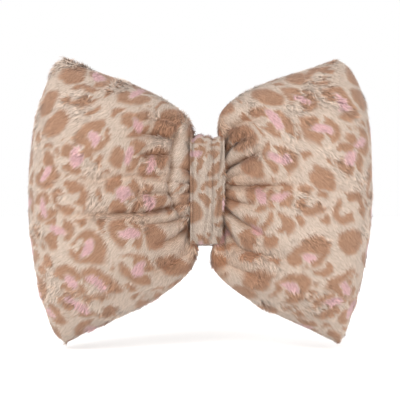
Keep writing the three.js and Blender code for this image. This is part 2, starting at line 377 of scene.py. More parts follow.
def small_spots(n, at, reach, wobble):
    """Small spots where the rings leave wide gaps."""
    small = n.add("ShaderNodeTexVoronoi", {
        "Vector": n.vector("ADD", at, (7.3, 2.9, 0)), "Scale": 1.7, "Randomness": 0.75},
        voronoi_dimensions="2D", feature="F1")
    small = n.math("ADD", small.outputs["Distance"], n.math("MULTIPLY", wobble, 0.3))
    return n.math("MULTIPLY", n.ramp(small, 0.26, 0.36, 1.0, 0.0), n.ramp(reach, 0.98, 1.06))


def spot_print_group():
    """The printed spots: soft broken rings with coloured centres, and solid spots between."""
    tree, n, given, out = new_group(
        "Spot print",
        [("Cloth", "NodeSocketVector", None), ("Spacing", "NodeSocketFloat", 0.0265),
         ("Ground", "NodeSocketColor", None), ("Spots", "NodeSocketColor", None),
         ("Centres", "NodeSocketColor", None)],
        [("Color", "NodeSocketColor")])
    at = scaled(n, given.outputs["Cloth"], n.math("DIVIDE", 1.0, given.outputs["Spacing"]))
    wander = n.vector("SUBTRACT", n.noise(at, 1.1, 1.0, "2D").outputs["Color"], (0.5, 0.5, 0.5))
    at = n.vector("ADD", at, n.vector("MULTIPLY", wander, (0.35, 0.35, 0)))
    pattern = {"Vector": at, "Scale": 1.0, "Randomness": 0.72}
    cells = n.add("ShaderNodeTexVoronoi", pattern, voronoi_dimensions="2D", feature="F1")
    border = n.add("ShaderNodeTexVoronoi", pattern, voronoi_dimensions="2D",
                   feature="DISTANCE_TO_EDGE").outputs["Distance"]
    chance = n.add("ShaderNodeSeparateColor", {"Color": cells.outputs["Color"]})
    away = n.vector("SUBTRACT", at, cells.outputs["Position"])
    turned = n.add("ShaderNodeVectorRotate", {
        "Vector": away, "Angle": n.math("MULTIPLY", chance.outputs["Red"], 2 * math.pi)},
        rotation_type="Z_AXIS").outputs["Vector"]
    wobble = n.math("SUBTRACT", n.noise(at, 3.4, 1.0, "2D").outputs["Fac"], 0.5)
    radius = n.vector("LENGTH", turned)

    # Reach is 0 in the middle of a cell and 1 at its border, so that rings fill their cells
    reach = n.math("DIVIDE", radius, n.math("ADD", n.math("ADD", radius, border), 0.001))
    reach = n.math("ADD", n.math("MULTIPLY", reach, 0.55), n.math("MULTIPLY", radius, 0.85))
    reach = n.math("ADD", reach, n.math("MULTIPLY", wobble, 0.22))
    solid = n.math("LESS_THAN", chance.outputs["Blue"], 0.24)
    ring = n.math("SUBTRACT", 1.0, solid)
    outside = n.math("SUBTRACT", 0.86, n.math("MULTIPLY", solid, 0.14))
    spot = n.ramp(reach, n.math("SUBTRACT", outside, 0.12), n.math("ADD", outside, 0.10),
                  1.0, 0.0)

    gap = n.math("MULTIPLY", ring_gaps(n, turned, chance.outputs["Green"], wobble), ring)
    spot = n.math("MULTIPLY", spot, n.math("SUBTRACT", 1.0, gap))

    # The middle of a ring is slim, and coloured in most of them
    slim = n.vector("LENGTH", n.vector("MULTIPLY", turned, (1.45, 0.74, 0)))
    slim = n.math("ADD", slim, n.math("ADD", n.math("MULTIPLY", wobble, 0.22), solid))
    spot = n.math("MULTIPLY", spot, n.ramp(slim, 0.15, 0.26))

    spot = n.math("MAXIMUM", spot, small_spots(n, at, reach, wobble))
    centre = n.math("MULTIPLY", n.ramp(slim, 0.15, 0.22, 1.0, 0.0),
                    n.math("GREATER_THAN", chance.outputs["Red"], 0.2))
    color = n.mix(spot, given.outputs["Ground"], given.outputs["Spots"])
    color = n.mix(centre, color, given.outputs["Centres"])
    n.tree.links.new(color, out.inputs["Color"])
    return tree


def ruffled_patches(n, cloth):
    """1 in the patches where the pile is ruffled, and 0 where it lies smooth."""
    return n.ramp(n.noise(cloth, PARTED_SCALE, 2.0).outputs["Fac"], *PARTED_RANGE)


def streak_group():
    """Fine streaks and soft clumps that lie along the nap, as brushed plush has."""
    tree, n, given, out = new_group(
        "Pile streaks",
        [("Cloth", "NodeSocketVector", None)],
        [("Streak", "NodeSocketFloat"), ("Clump", "NodeSocketFloat"),
         ("Parted", "NodeSocketFloat")])
    along = n.vector("MULTIPLY", given.outputs["Cloth"], (420.0, 1500.0, 1500.0))
    streak = n.noise(along, 1.0, 3.0).outputs["Fac"]
    clump = n.noise(given.outputs["Cloth"], 170.0, 2.0).outputs["Fac"]
    parted = ruffled_patches(n, given.outputs["Cloth"])
    n.tree.links.new(parted, out.inputs["Parted"])
    n.tree.links.new(streak, out.inputs["Streak"])
    n.tree.links.new(clump, out.inputs["Clump"])
    return tree


# ---- Materials ---------------------------------------------------------------------------

def new_material(name, roughness, sheen=0.0):
    """A material with its Principled shader, and its helpers."""
    material = bpy.data.materials.new(name)
    material.use_nodes = True
    n = Nodes(material.node_tree)
    shader = material.node_tree.nodes["Principled BSDF"]
    shader.inputs["Roughness"].default_value = roughness
    shader.inputs["Sheen Weight"].default_value = sheen
    shader.inputs["Sheen Roughness"].default_value = 0.5
    shader.inputs["Specular IOR Level"].default_value = 0.2
    return material, n, shader


def on_cloth(n):
    """Where a point lies on its own cloth, laid flat."""
    return n.add("ShaderNodeAttribute", attribute_name="cloth").outputs["Vector"]


def raise_relief(n, shader, height, strength, depth):
    """Small relief on a finish, from a height that changes over it."""
    bump = n.add("ShaderNodeBump", {"Height": height, "Strength": strength, "Distance": depth})
    n.tree.links.new(bump.outputs["Normal"], shader.inputs["Normal"])


def two_tones(n, shader, factor, dark, light):
    """A finish that goes from a dark to a light tone as its relief rises: painted shade in the
    relief's hollows.
    """
    color = n.mix(factor, (*dark, 1), (*light, 1))
    n.tree.links.new(color, shader.inputs["Base Color"])


def printed(n, spots, settings, darker=1.0):
    """The print on a piece's own cloth coordinate, darkened by one factor, and browner and darker
    in its creases, where light reaches only through the pile: painted crease shade."""
    cloth = on_cloth(n)

    def colour(value):
        return (value[0] * darker, value[1] * darker, value[2] * darker, 1)

    print_node = n.add("ShaderNodeGroup", {
        "Cloth": cloth, "Spacing": settings.spacing, "Ground": colour(settings.cream),
        "Spots": colour(settings.tan), "Centres": colour(settings.pink)}, node_tree=spots)
    # Painted shade: down the creases and beside the wrap the print is multiplied by a browner,
    # darker tint
    crease = n.add("ShaderNodeAttribute", attribute_name="crease").outputs["Fac"]
    return cloth, n.mix(crease, print_node.outputs["Color"], CREASE_SHADE_TINT, "MULTIPLY")


def backing_material(name, spots, streaks, settings, darker):
    """The knitted ground under the pile, with the print showing through it, darkened by painted
    shade from the pile over it.
    """
    material, n, shader = new_material(name, 0.95, 0.25)
    cloth, color = printed(n, spots, settings, darker)
    lie = n.add("ShaderNodeGroup", {"Cloth": cloth}, node_tree=streaks)
    light = n.ramp(lie.outputs["Streak"], 0.25, 0.75, 0.82, 1.12)
    n.tree.links.new(scaled(n, color, light), shader.inputs["Base Color"])
    raise_relief(n, shader, lie.outputs["Streak"], 0.5, 0.6 * MM)
    return material


def pile_material(name, spots, streaks, settings, darker):
    """Locks of pile, darker towards the root with painted shade, each with a little colour of its
    own.
    """
    material, n, shader = new_material(name, 0.9, 0.35)
    cloth, color = printed(n, spots, settings, darker)
    lock = n.add("ShaderNodeAttribute", attribute_name="lock").outputs["Fac"]
    height = n.add("ShaderNodeAttribute", attribute_name="height").outputs["Fac"]
    lie = n.add("ShaderNodeGroup", {"Cloth": cloth}, node_tree=streaks)
    # Painted shade: each lock darkens towards its root, where the pile shades it
    light = n.math("MULTIPLY", n.ramp(height, 0.0, 0.8, 0.72, 1.06),
                   n.ramp(lock, 0.0, 1.0, 0.88, 1.10))
    light = n.math("MULTIPLY", light, n.ramp(lie.outputs["Clump"], 0.3, 0.7, 0.94, 1.05))
    stray = n.ramp(n.math("FRACT", n.math("MULTIPLY", lock, 37.0)), 0.0, 1.0, 0.64, 1.24)
    light = n.math("MULTIPLY", light, n.math("ADD", 1.0, n.math(
        "MULTIPLY", n.math("SUBTRACT", stray, 1.0), lie.outputs["Parted"])))
    n.tree.links.new(scaled(n, color, light), shader.inputs["Base Color"])
    return material


def jersey_material(color):
    """Soft knit: rows of small stitches."""
    material, n, shader = new_material("Jersey", 0.9, 0.3)
    cloth = on_cloth(n)
    wales = n.add("ShaderNodeTexWave", {"Vector": cloth, "Scale": 210.0, "Distortion": 1.2,
                                        "Detail": 1.0, "Detail Scale": 1.5},
                  bands_direction="X").outputs["Fac"]
    courses = n.add("ShaderNodeTexWave", {"Vector": cloth, "Scale": 260.0, "Distortion": 1.0},
                    bands_direction="Y").outputs["Fac"]
    height = n.math("MULTIPLY", wales, n.ramp(courses, 0.0, 1.0, 0.6, 1.0))
    two_tones(n, shader, height, [0.8 * part for part in color], color)
    raise_relief(n, shader, height, 0.6, 0.3 * MM)
    return material


def fibre_material():
    """Matted white filling."""
    material, n, shader = new_material("Fibre filling", 1.0, 0.4)
    at = n.add("ShaderNodeTexCoord").outputs["Object"]
    strands = n.noise(at, 900.0, 4.0).outputs["Fac"]
    two_tones(n, shader, strands, (0.72, 0.71, 0.69), (0.95, 0.94, 0.92))
    raise_relief(n, shader, strands, 0.8, 1 * MM)
    return material


def thread_material(color):
    """Twisted sewing thread."""
    material, n, shader = new_material("Sewing thread", 0.6, 0.2)
    at = n.add("ShaderNodeTexCoord").outputs["Object"]
    twist = n.add("ShaderNodeTexWave", {"Vector": at, "Scale": 420.0, "Distortion": 2.0},
                  bands_direction="DIAGONAL").outputs["Fac"]
    two_tones(n, shader, twist, [0.6 * part for part in color], color)
    raise_relief(n, shader, twist, 0.7, 0.2 * MM)
    return material


def elastic_material():
    """Ribbed woven elastic."""
    material, n, shader = new_material("Woven elastic", 0.75, 0.1)
    cloth = on_cloth(n)
    ribs = n.add("ShaderNodeTexWave", {"Vector": cloth, "Scale": 130.0}, bands_direction="Y")
    picks = n.add("ShaderNodeTexWave", {"Vector": cloth, "Scale": 240.0}, bands_direction="X")
    height = n.math("MULTIPLY", ribs.outputs["Fac"],
                    n.ramp(picks.outputs["Fac"], 0.0, 1.0, 0.5, 1.0))
    two_tones(n, shader, height, (0.60, 0.58, 0.55), (0.90, 0.88, 0.84))
    raise_relief(n, shader, height, 0.8, 0.4 * MM)
    return material


def satin_material():
    """Plain satin ribbon with fine picks."""
    material, n, shader = new_material("Label satin", 0.38)
    at = n.add("ShaderNodeTexCoord").outputs["Object"]
    picks = n.add("ShaderNodeTexWave", {"Vector": at, "Scale": 900.0, "Distortion": 0.5},
                  bands_direction="Z").outputs["Fac"]
    two_tones(n, shader, picks, (0.80, 0.78, 0.74), (0.93, 0.91, 0.88))
    raise_relief(n, shader, picks, 0.3, 0.1 * MM)
    return material


# ---- Pile --------------------------------------------------------------------------------

def lock_of_pile(width):
    """One flat tapered lock, a unit long, curling towards the cloth. Used once, as a pattern."""
    bpy.ops.object.select_all(action="DESELECT")
    bpy.ops.mesh.primitive_grid_add(x_subdivisions=1, y_subdivisions=2, size=1)
    lock = bpy.context.object
    lock.name = "pile_lock_pattern"
    points = get_points(lock)
    height = points[:, 1] + 0.5
    taper = 1 - height ** 1.5
    points[:, 0] *= width * taper
    points[:, 1] = height
    points[:, 2] = -0.18 * height ** 2
    set_points(lock, points)
    set_values(lock, "height", height)
    tidy_mesh(lock, closed=False)
    return lock


def nap_direction(n, normal, lean):
    """Which way each lock points: leaning along the nap, swirled a little, tufted in patches."""
    nap = n.add("GeometryNodeInputNamedAttribute", {"Name": "nap"}, data_type="FLOAT_VECTOR")
    place = n.add("GeometryNodeInputPosition").outputs["Position"]
    cloth = n.add("GeometryNodeInputNamedAttribute", {"Name": "cloth"}, data_type="FLOAT_VECTOR")
    parted = ruffled_patches(n, cloth.outputs["Attribute"])
    middle = (0.5, 0.5, 0.5)
    swirl = n.vector("SUBTRACT", n.noise(place, 55.0, 1.0).outputs["Color"], middle)
    swirl = n.vector("MULTIPLY", swirl, (1.5, 1.5, 1.5))
    tuft = n.vector("SUBTRACT", n.noise(place, 330.0, 1.0).outputs["Color"], middle)
    tuft = scaled(n, tuft, n.math("MULTIPLY", parted, 4.2))
    stray = n.add("FunctionNodeRandomValue", {0: (-0.3, -0.3, -0.3), 1: (0.3, 0.3, 0.3)},
                  data_type="FLOAT_VECTOR").outputs[0]
    wish = n.vector("ADD", n.vector("ADD", nap.outputs["Attribute"],
                                    n.vector("ADD", swirl, tuft)), stray)
    flat = n.vector("CROSS_PRODUCT", n.vector("CROSS_PRODUCT", normal, wish), normal)
    flat = n.vector("NORMALIZE", flat)
    lean = n.math("SUBTRACT", lean, n.math("MULTIPLY", parted, 0.22))
    up = scaled(n, normal, n.math("COSINE", lean))
    over = scaled(n, flat, n.math("SINE", lean))
    return n.vector("ADD", up, over), parted


def stored(n, geometry, name, value, kind, domain="POINT"):
    """The same geometry with a value stored on it under a name."""
    return n.add("GeometryNodeStoreNamedAttribute", {
        "Geometry": geometry, "Name": name, "Value": value},
        data_type=kind, domain=domain).outputs[0]


def bake_cell(n, cells):
    """A place on the map inside the small cell that belongs to one lock alone."""
    number = n.add("GeometryNodeInputNamedAttribute", {"Name": "number"}, data_type="INT")
    number = number.outputs["Attribute"]
    own = n.add("GeometryNodeInputNamedAttribute", {"Name": "UVMap"}, data_type="FLOAT_VECTOR")
    own = n.add("ShaderNodeSeparateXYZ", {0: own.outputs["Attribute"]})
    column = n.math("MODULO", number, cells)
    row = n.math("FLOOR", n.math("DIVIDE", number, cells))
    map_x = n.math("DIVIDE", n.math("ADD", column, own.outputs["X"]), cells)
    map_y = n.math("DIVIDE", n.math("ADD", row, own.outputs["Y"]), cells)
    return n.add("ShaderNodeCombineXYZ", {"X": map_x, "Y": map_y}).outputs[0]


def pile_tree():
    """Geometry nodes that set locks of pile on a cloth, leaning along its nap."""
    tree = bpy.data.node_groups.new("Set pile", "GeometryNodeTree")
    for label, kind in (("Geometry", "NodeSocketGeometry"), ("Lock", "NodeSocketObject"),
                        ("Density", "NodeSocketFloat"), ("Length", "NodeSocketFloat"),
                        ("Lean", "NodeSocketFloat"), ("Seed", "NodeSocketInt"),
                        ("Map cells", "NodeSocketFloat")):
        tree.interface.new_socket(label, in_out="INPUT", socket_type=kind)
    tree.interface.new_socket("Geometry", in_out="OUTPUT", socket_type="NodeSocketGeometry")
    n = Nodes(tree)
    given, out = n.add("NodeGroupInput"), n.add("NodeGroupOutput")

    cover = n.add("GeometryNodeInputNamedAttribute", {"Name": "cover"}, data_type="FLOAT")
    spread = n.add("GeometryNodeDistributePointsOnFaces", {
        "Mesh": given.outputs["Geometry"],
        "Density": n.math("MULTIPLY", given.outputs["Density"], cover.outputs["Attribute"]),
        "Seed": given.outputs["Seed"]})
    normal = spread.outputs["Normal"]
    along, parted = nap_direction(n, normal, given.outputs["Lean"])
    turn = n.add("FunctionNodeAlignRotationToVector", {"Vector": along}, axis="Y")
    turn = n.add("FunctionNodeAlignRotationToVector", {
        "Rotation": turn.outputs[0], "Vector": normal}, axis="Z", pivot_axis="Y")

    size = n.add("FunctionNodeRandomValue", {2: 0.7, 3: 1.2}, data_type="FLOAT").outputs[1]
    size = n.math("MULTIPLY", size, given.outputs["Length"])
    size = n.math("MULTIPLY", size, n.math("ADD", 1.0, n.math("MULTIPLY", parted, 0.45)))
    size = n.add("ShaderNodeCombineXYZ", {"X": size, "Y": size, "Z": size}).outputs[0]
    pattern = n.add("GeometryNodeObjectInfo", {"Object": given.outputs["Lock"]})
    chance = n.add("FunctionNodeRandomValue", {2: 0.0, 3: 1.0, "Seed": 7}, data_type="FLOAT")
    number = n.add("GeometryNodeInputIndex").outputs[0]
    points = stored(n, spread.outputs["Points"], "lock", chance.outputs[1], "FLOAT")
    points = stored(n, points, "cloth_normal", normal, "FLOAT_VECTOR")
    points = stored(n, points, "number", number, "INT")
    locks = n.add("GeometryNodeInstanceOnPoints", {
        "Points": points, "Instance": pattern.outputs["Geometry"],
        "Rotation": turn.outputs[0], "Scale": size}).outputs[0]
    made = n.add("GeometryNodeRealizeInstances", {"Geometry": locks}).outputs[0]
    made = stored(n, made, "OFBake", bake_cell(n, given.outputs["Map cells"]), "FLOAT2", "CORNER")
    n.tree.links.new(made, out.inputs["Geometry"])
    return tree


def grow_pile(cloth, name, cover, settings, share=1.0, seed=0, material="pile"):
    """Pile over a finished piece of plush, as a piece of its own. Cover is 1 where it grows, and
    share is how long and how dense it is, against the pile on the bow's front."""
    pile = cloth.copy()
    pile.data = cloth.data.copy()
    pile.name = pile.data.name = name
    bpy.context.scene.collection.objects.link(pile)
    set_values(pile, "cover", cover)
    area = sum(face.area for face in cloth.data.polygons)
    density = settings.density * share
    values = {"Lock": shared["lock"], "Density": density, "Length": settings.length * share,
              "Lean": settings.lean, "Seed": seed,
              "Map cells": float(math.ceil(math.sqrt(1.05 * density * area)))}
    modifier = pile.modifiers.new("Pile", "NODES")
    modifier.node_group = shared["pile_tree"]
    for label, value in values.items():
        modifier[modifier.node_group.interface.items_tree[label].identifier] = value
    apply_all(pile)
    pile.data.materials.clear()
    pile.data.materials.append(shared[material])
    soften_pile(pile)
    return pile


def soften_pile(pile):
    """Turns the locks' normals most of the way to the cloth's, so that light falls softly."""
    mesh = pile.data
    mesh.polygons.foreach_set("use_smooth", [True] * len(mesh.polygons))
    cloth_normals = np.empty(len(mesh.vertices) * 3, np.float32)
    mesh.attributes["cloth_normal"].data.foreach_get("vector", cloth_normals)
    cloth_normals = cloth_normals.reshape(-1, 3).astype(float)
    own = get_normals(pile)
    own *= np.sign(np.sum(own * cloth_normals, 1))[:, None] + 1e-9
    softness = 0.62
    mixed = softness * cloth_normals + (1 - softness) * own
    mixed /= np.linalg.norm(mixed, axis=1)[:, None]
    mesh.normals_split_custom_set_from_vertices(mixed.tolist())
    mesh.attributes.remove(mesh.attributes["cloth_normal"])


# ---- Bow lobes ---------------------------------------------------------------------------

# Each lobe's own outline, as (upper, lower) values: how far its corners are rounded and lifted
# and its cloth puffs out past the wrap, all in millimetres, how fast its edges open out from the
# knot, and how square its outer edge is.
OUTLINES = {
    "left": {"rounded": (2.5, 3.5), "lift": (8, 9), "overhang": (3, 7),
             "opening": (0.40, 0.40), "squareness": (2.4, 2.0)},
    "right": {"rounded": (2.5, 1.5), "lift": (6, 6), "overhang": (6, 13),
              "opening": (0.30, 0.36), "squareness": (3.9, 1.8)},
}


class LobeShape:
    """Sizes of one lobe, read from its two panels in the frame."""

    def __init__(self, name, settings):
        front_low, front_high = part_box(f"{name}_front_panel")
        _, back_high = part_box(f"{name}_back_panel")
        _, wrap_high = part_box("knot_wrap")
        neck_low, neck_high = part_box("bow_neck")
        pile_room = 1.5 * MM
        spare = pile_room + settings.most_swell
        self.side = 1 if front_high.x > 0 else -1
        self.outline = OUTLINES[name]
        self.seam_y = (neck_low.y + neck_high.y) / 2
        self.reach = max(abs(front_low.x), abs(front_high.x)) - pile_room
        self.corner = self.reach - settings.edge_bulge
        self.top = front_high.z - spare + 2 * MM
        self.bottom = -front_low.z - spare
        self.front = self.seam_y - front_low.y - spare
        self.back = back_high.y - self.seam_y - spare
        self.start = wrap_high.x - 3 * MM
        self.root_height = neck_high.z
        self.neck = settings.neck_depth
        self.root = wrap_high.x - 1 * MM
        self.full = self.corner * 0.74

    def edge(self, distance, upper):
        """Height of the upper edge, or depth of the lower one, at a distance from the knot."""
        corner = self.top if upper else self.bottom
        power = self.outline["opening"][0 if upper else 1]
        lift = self.outline["lift"][0 if upper else 1] * MM
        open_share = np.clip((distance - self.root) / (self.corner - self.root), 0, 1)
        rise = (corner - self.root_height) * open_share ** power
        return self.root_height + rise + lift * open_share ** 6

    def place(self, along, turn):
        """Points for along, from the neck to the outer edge, and turn, once round the lobe."""
        reach = 1 - (1 - along) ** 1.7
        level = -np.cos(turn)
        face = np.where(np.sin(turn) >= 0, -1.0, 1.0)
        distance = self.start + (self.corner - self.start) * reach
        sharpness = np.where(level > 0, *self.outline["squareness"])
        bulge = (self.reach - self.corner) * (1 - np.abs(level) ** sharpness)
        x = self.start + (self.corner + bulge - self.start) * reach
        top, bottom = self.edge(distance, True), -self.edge(distance, False)
        z = bottom + (top - bottom) * (level + 1) / 2
        rise = np.clip((distance - self.root) / (self.full - self.root), 0, 1)
        front = self.neck + (self.front - self.neck) * np.sin(rise * math.pi / 2) ** 0.9
        back = self.neck + (self.back - self.neck) * smooth_step(0, 1, rise)
        rounding = np.sqrt(np.clip(1 - np.abs(level) ** 3, 0, 1))
        rounding = rounding * np.sqrt(np.clip(1 - reach ** 7, 0, 1))
        y = self.seam_y + face * np.where(face < 0, front, back) * rounding
        # The corners are a little round
        for end, pull in zip((1, -1), self.outline["rounded"]):
            corner_z = (self.top if end > 0 else -self.bottom) + end * 8 * MM
            away = np.hypot(x - self.corner, z - corner_z)
            near = np.exp(-(away / (9 * MM)) ** 2)
            x = x - pull * MM * near
            z = z - end * pull * MM * near
        # Over and under the wrap the cloth puffs out past the wrap's edge
        clear = smooth_step(self.root_height, self.root_height + 12 * MM, np.abs(z))
        puff = clear * np.exp(-(distance - self.root) / (14 * MM))
        x = x - np.where(z > 0, *self.outline["overhang"]) * MM * puff
        return np.stack([self.side * x, y, z], -1)


def cloth_lengths(grid, shape):
    """Distances over the cloth, out from the neck and up from the middle, on either face."""
    steps = np.linalg.norm(np.diff(grid, axis=0), axis=2)
    out = shape.start + np.vstack([np.zeros(grid.shape[1]), np.cumsum(steps, axis=0)])
    ring = np.linalg.norm(grid - np.roll(grid, 1, axis=1), axis=2)
    ring[:, 0] = 0
    round_it = np.cumsum(ring, axis=1)
    quarter, half = grid.shape[1] // 4, grid.shape[1] // 2
    up = round_it - round_it[:, quarter:quarter + 1]
    back = round_it[:, 3 * quarter:3 * quarter + 1] - round_it
    match = up[:, half] / np.maximum(back[:, half], 0.1 * MM)
    up[:, half:] = back[:, half:] * match[:, None]
    return np.stack([shape.side * out, up, 0 * up], -1).reshape(-1, 3)


def lobe_cloth(name, shape, rings=44, around=96):
    """A lobe's closed cloth, before its gathers."""
    along = np.linspace(0, 1, rings)[:, None] * np.ones(around)
    turn = once_round(around) * np.ones((rings, 1))
    points = shape.place(along, turn).reshape(-1, 3)
    faces = grid_faces(rings, around, False, True)
    faces.append(tuple(range(around)))
    lobe = new_object(name, points, faces)
    set_values(lobe, "along", along)
    set_vectors(lobe, "cloth", cloth_lengths(points.reshape(rings, around, 3), shape))
    set_values(lobe, "level", -np.cos(turn))
    tidy_mesh(lobe, 0.02 * MM)
    return lobe


def inflate(lobe, shape, settings):
    """Fills a lobe: pressure inside its cloth, which is held where it enters the wrap."""
    slack = get_points(lobe)
    held = lobe.vertex_groups.new(name="held")
    distance = np.abs(slack[:, 0])
    for index in np.flatnonzero(distance < shape.root + 2 * MM):
        held.add([int(index)], 1.0, "REPLACE")
    modifier = lobe.modifiers.new("Filling", "CLOTH")
    cloth = modifier.settings
    cloth.vertex_group_mass = "held"
    cloth.quality = 6
    cloth.mass = 0.2
    cloth.tension_stiffness = cloth.compression_stiffness = 20
    cloth.shear_stiffness = 8
    cloth.bending_stiffness = 0.8
    cloth.use_pressure = True
    cloth.uniform_pressure_force = settings.pressure
    cloth.effector_weights.gravity = 0
    modifier.collision_settings.use_collision = False
    scene = bpy.context.scene
    frames = 20
    modifier.point_cache.frame_start = 1
    modifier.point_cache.frame_end = frames
    for number in range(1, frames + 1):
        scene.frame_set(number)
    apply_all(lobe)
    scene.frame_set(1)
    moved = get_points(lobe) - slack
    size = np.linalg.norm(moved, axis=1)[:, None]
    moved *= np.minimum(1, settings.most_swell / np.maximum(size, 1e-9))
    set_points(lobe, slack + moved)
    lobe.vertex_groups.clear()


# Each fold runs out from the knot: its level at the knot and at its end, from -1 at the lower
# edge to 1 at the upper, its length, its depth as a share of the deepest, and its width.
FOLDS = {
    "left": [
        (-0.16, -0.10, 88, 1.0, 4.5), (0.22, 0.13, 84, 0.45, 6.0), (-0.34, -0.17, 52, 0.6, 3.5),
        (0.46, 0.36, 36, 0.8, 4.0), (0.66, 0.56, 40, 0.8, 4.5), (0.86, 0.76, 30, 0.7, 4.0),
        (-0.56, -0.46, 34, 0.8, 4.5), (-0.80, -0.70, 40, 0.7, 4.5), (0.04, 0.02, 30, 0.5, 3.0),
    ],
    "right": [
        (0.06, 0.10, 62, 0.95, 4.5), (0.30, 0.46, 38, 0.9, 4.0), (-0.30, -0.40, 44, 0.8, 4.0),
        (-0.60, -0.50, 52, 0.8, 4.5), (0.76, 0.74, 34, 0.7, 4.5), (0.18, 0.22, 30, 0.5, 3.5),
        (-0.12, -0.10, 34, 0.6, 3.5), (-0.82, -0.72, 36, 0.7, 4.0), (0.54, 0.62, 26, 0.6, 3.5),
    ],
}


def roll_edge(name, level, shape):
    """Where the gathers start: past a roll of cloth that lies beside the knot on the left."""
    if name == "right":
        return shape.start + 0 * level
    tapered = 16 * smooth_step(0, 0.65, -level) + 9 * smooth_step(0.5, 0.95, level)
    uneven = 1.1 * np.sin(level * 9 + 0.5) + 0.7 * np.sin(level * 17)
    return shape.start + np.maximum(15 + uneven - tapered, 0) * MM


def long_folds(name, shape, level, distance, past_wrap):
    """How deep the long folds are at each point, as a share of the deepest."""
    sink = np.zeros(len(level))
    for knot_level, end_level, length, depth, width in FOLDS[name]:
        run = np.clip(past_wrap / length, 0, 1.3)
        middle = knot_level + (end_level - knot_level) * run
        half = (shape.edge(distance, True) + shape.edge(distance, False)) / 2
        offset = (level - middle) * half / MM
        fade = (1 - smooth_step(0.35, 1.0, run)) * smooth_step(-2, 6, past_wrap)
        spread = width * (0.75 + 0.9 * run)
        narrow = np.exp(-np.abs(offset / (0.42 * spread)) ** 1.3)
        wide = np.exp(-(offset / (1.3 * spread)) ** 2)
        sink += depth * fade * (0.62 * narrow + 0.38 * wide)
    return sink


def small_gathers(level, past_wrap, count):
    """How deep the many small gathers are that end close beside the knot."""
    reach, depth = 13, 0.42
    ruffle = np.abs(np.sin(level * math.pi * count / 2 + 1.7 * np.sin(level * 5)))
    return depth * (1 - ruffle ** 0.7) * np.exp(-np.clip(past_wrap, 0, None) / reach)


def roll_relief(shape, distance, roll_end):
    """The roll beside the knot: it stands out, and a crease runs along its far side."""
    from_edge = (distance - roll_end) / (1.6 * MM)
    has_roll = smooth_step(4 * MM, 9 * MM, roll_end - shape.start)
    crease = 0.60 * np.exp(-np.abs(from_edge) ** 1.5)
    across = np.clip((distance - shape.start) / np.maximum(roll_end - shape.start, MM), 0, 1)
    return has_roll * (crease - 0.30 * np.sin(across * math.pi) ** 0.8)


def press_gathers(lobe, name, shape, settings):
    """Presses the gathers and the edge seam into a lobe, along its own normals. Returns how much
    painted shade, browner and darker, each point gets from lying in a crease or close beside the
    wrap."""
    points, normals = get_points(lobe), get_normals(lobe)
    level = get_values(lobe, "level")
    distance = np.abs(points[:, 0])
    roll_end = roll_edge(name, level, shape)
    past_wrap = (distance - roll_end) / MM
    on_face = smooth_step(0.0, 0.35, 1 - np.abs(level))
    sink = long_folds(name, shape, level, distance, past_wrap)
    sink += small_gathers(level, past_wrap, settings.ruffles)
    sink += roll_relief(shape, distance, roll_end)
    # Painted shade: the print turns browner and darker down the creases and close beside the wrap
    near_wrap = np.exp(-np.clip(distance - shape.root, 0, None) / (2.5 * MM))
    painted_shade = np.maximum(np.clip(1.3 * sink, 0, 1) * on_face, 0.7 * near_wrap)
    back_depth = 0.5
    sink *= np.where(points[:, 1] < shape.seam_y, 1.0, back_depth)
    off_seam = (points[:, 1] - shape.seam_y) / (1.5 * MM)
    seam = 0.8 * MM * np.exp(-off_seam ** 2) * smooth_step(0.86, 0.97, np.abs(level))
    set_points(lobe, points - normals * (sink * on_face * settings.fold_depth + seam)[:, None])
    return painted_shade


def store_cloth(piece, cloth, nap, crease=0.0):
    """Stores where each point lies on the printed cloth, which way its nap runs, and how far it is
    down a crease, which sets how much painted shade it gets."""
    set_vectors(piece, "cloth", cloth)
    set_vectors(piece, "nap", nap)
    set_values(piece, "crease", crease + np.zeros(len(piece.data.vertices)))


def lobe_piece(name, shape, settings):
    """A lobe's stuffed and gathered cloth."""
    lobe = lobe_cloth(f"{name}_lobe", shape)
    inflate(lobe, shape, settings)
    smoothed(lobe, 2)
    # crease holds how much painted shade each point gets in the creases and beside the wrap
    crease = press_gathers(lobe, name, shape, settings)
    points = get_points(lobe)
    cloth = get_vectors(lobe, "cloth")
    cloth[points[:, 1] > shape.seam_y + 0.4 * MM] += np.array(BACK_PRINT)
    cloth[:, 1] += 0.3 * shape.side    # so that the two lobes differ
    away = np.stack([0.8 * np.sign(points[:, 0]), np.zeros(len(points)),
                     -0.9 * np.ones(len(points))], -1)
    store_cloth(lobe, cloth, away, crease)
    lobe.data.materials.append(shared["backing"])
    bpy.ops.object.shade_smooth()
    return lobe


# ---- Operators ---------------------------------------------------------------------------

class HEADBAND_OT_materials(bpy.types.Operator):
    """Make the print, the pile and the other finishes"""
    bl_idname = "headband.materials"
    bl_label = "Make finishes"

    def execute(self, context):
        scene = context.scene
        spots, streaks = spot_print_group(), streak_group()
        # The backings' darker print is painted shade under the pile
        shared["backing"] = backing_material(
            "Plush backing", spots, streaks, scene.headband_print, 0.72)
        shared["pile"] = pile_material("Plush pile", spots, streaks, scene.headband_print, 1.0)
        shared["knot_backing"] = backing_material(
            "Knot backing", spots, streaks, scene.headband_print, 0.62)
        shared["knot_pile"] = pile_material(
            "Knot pile", spots, streaks, scene.headband_print, 0.90)
        shared["jersey"] = jersey_material((0.86, 0.79, 0.71))
        shared["fibre"] = fibre_material()
        shared["thread"] = thread_material((0.50, 0.37, 0.29))
        shared["elastic"] = elastic_material()
        shared["satin"] = satin_material()
        shared["lock"] = lock_of_pile(scene.headband_pile.width / scene.headband_pile.length)
        shared["pile_tree"] = pile_tree()
        return {"FINISHED"}


class HEADBAND_OT_bow(bpy.types.Operator):
    """Make the two stuffed lobes of the bow, with their gathers, pile and filling"""
    bl_idname = "headband.bow"
    bl_label = "Make bow"

    def execute(self, context):
        for name in ("left", "right"):
            make_lobe(name, context.scene.headband_bow, context.scene.headband_pile)
        return {"FINISHED"}


